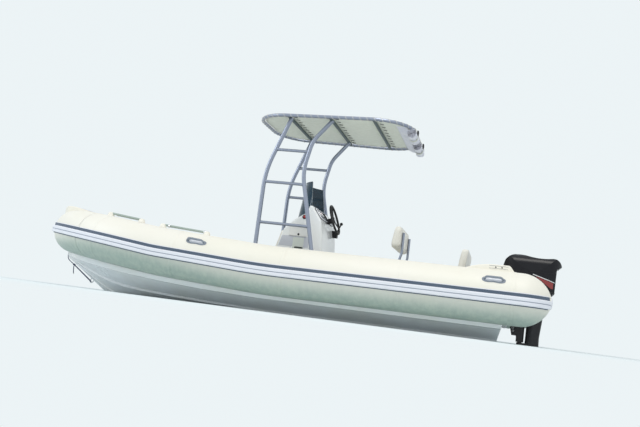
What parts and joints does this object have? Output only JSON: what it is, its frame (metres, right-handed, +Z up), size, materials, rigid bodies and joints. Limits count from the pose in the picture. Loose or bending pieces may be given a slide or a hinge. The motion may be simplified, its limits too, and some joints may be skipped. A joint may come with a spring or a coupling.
{
  "type": "rigid inflatable boat with canopy and outboard",
  "caption": "Rigid inflatable boat: V hull with inflated collar, centre console, seats, canopy on a tube frame, and a tilting, steering outboard.",
  "frame": {"origin": "on the centreline at the still waterline, amidships", "axes": "+X towards the bow, +Y to port, +Z up"},
  "size_m": [6.5624, 2.498, 3.0563],
  "materials": {
    "gelcoat": "glossy white gelcoat",
    "ivory_tube": "ivory coated fabric, satin",
    "strake": "pale moulded rubber, satin",
    "slate": "dark slate coated fabric",
    "grey_rubber": "grey moulded rubber",
    "grip": "grey-green grip hose",
    "sole": "grey non-skid foam",
    "stainless": "satin stainless tube",
    "cushion": "cream marine vinyl",
    "canopy": "pale beige coated canvas",
    "white_cloth": "white coated canvas",
    "smoked": "smoked acrylic",
    "black": "black moulded plastic",
    "engine_black": "glossy black paint",
    "engine_metal": "dark block",
    "propeller": "black painted aluminium",
    "red_lens": "red lamp lens",
    "green_lens": "green lamp lens",
    "rope": "navy braided rope"
  },
  "bodies": {
    "boat": {"aft_backrest": "cushion", "aft_bench_base": "gelcoat", "bow_eye": "stainless", "bow_locker": "gelcoat", "bow_step": "gelcoat", "canopy_aft_cloth": "white_cloth", "canopy_cloth": "canopy", "canopy_cross_bars": "stainless", "canopy_ring": "stainless", "carry_handles": "grey_rubber", "clamp_bracket": "engine_black", "cockpit_sole": "sole", "collar_bow": "ivory_tube", "collar_port": "ivory_tube", "collar_starboard": "ivory_tube", "console_body": "gelcoat", "dash_panel": "black", "front_seat_back": "cushion", "front_seat_box": "gelcoat", "grab_bar_pads": "ivory_tube", "grab_bars": "grip", "helm_backrest": "cushion", "helm_backrest_stays": "stainless", "helm_seat_base": "gelcoat", "helm_seat_cushion": "cushion", "hull": "gelcoat", "leg_feet": "stainless", "leg_port_aft": "stainless", "leg_port_front": "stainless", "leg_starboard_aft": "stainless", "leg_starboard_front": "stainless", "painter": "rope", "painter_tail": "rope", "rolled_shades": "white_cloth", "rub_strake": "strake", "side_light_green": "green_lens", "side_light_red": "red_lens", "side_rungs": "stainless", "side_stripe": "slate", "stern_eyes": "stainless", "throttle_control": "black", "transom_board": "gelcoat", "windscreen": "smoked"},
    "outboard_swivel": {"swivel_bracket": "engine_black"},
    "outboard": {"engine_leg": "engine_black", "cowl": "engine_black", "powerhead": "engine_metal", "gearcase": "engine_black"},
    "propeller": {"propeller": "propeller"},
    "steering_wheel": {"steering_wheel": "black"},
    "bow_locker_lid": {"bow_locker_lid": "gelcoat", "bow_cushion": "cushion"},
    "front_seat_lid": {"front_seat_lid": "gelcoat", "front_seat_cushion": "cushion"},
    "aft_bench_lid": {"aft_bench_lid": "gelcoat", "aft_bench_cushion": "cushion"},
    "console_hatch": {"console_hatch": "gelcoat"}
  },
  "joints": [
    {"name": "motor_tilt", "type": "hinge", "parent": "boat", "child": "outboard_swivel", "pos_m": [-2.85, 0, 0.42], "axis": [0, 1, 0], "range_deg": [-4, 62]},
    {"name": "motor_steer", "type": "hinge", "parent": "outboard_swivel", "child": "outboard", "pos_m": [-2.935, 0, 0.25], "axis": [0, 0, 1], "range_deg": [-30, 30]},
    {"name": "propeller_spin", "type": "hinge", "parent": "outboard", "child": "propeller", "pos_m": [-3.14, 0, -0.44], "axis": [1, 0, 0], "continuous": true},
    {"name": "wheel_turn", "type": "hinge", "parent": "boat", "child": "steering_wheel", "pos_m": [-0.57, 0, 1.24], "axis": [-0.9397, 0, 0.342], "range_deg": [-545, 545]},
    {"name": "bow_locker_lid_hinge", "type": "hinge", "parent": "boat", "child": "bow_locker_lid", "pos_m": [1.474, 0, 0.51], "axis": [0, -1, 0], "range_deg": [0, 85]},
    {"name": "front_seat_lid_hinge", "type": "hinge", "parent": "boat", "child": "front_seat_lid", "pos_m": [0.568, 0, 0.53], "axis": [0, 1, 0], "range_deg": [0, 85]},
    {"name": "aft_bench_lid_hinge", "type": "hinge", "parent": "boat", "child": "aft_bench_lid", "pos_m": [-1.684, 0, 0.51], "axis": [0, 1, 0], "range_deg": [0, 85]},
    {"name": "console_hatch_hinge", "type": "hinge", "parent": "boat", "child": "console_hatch", "pos_m": [-0.23, 0.4005, 1.075], "axis": [1, 0, 0], "range_deg": [0, 90]}
  ],
  "couplings": [
    {"joint": "wheel_turn", "follows": "motor_steer", "ratio": -18}
  ]
}
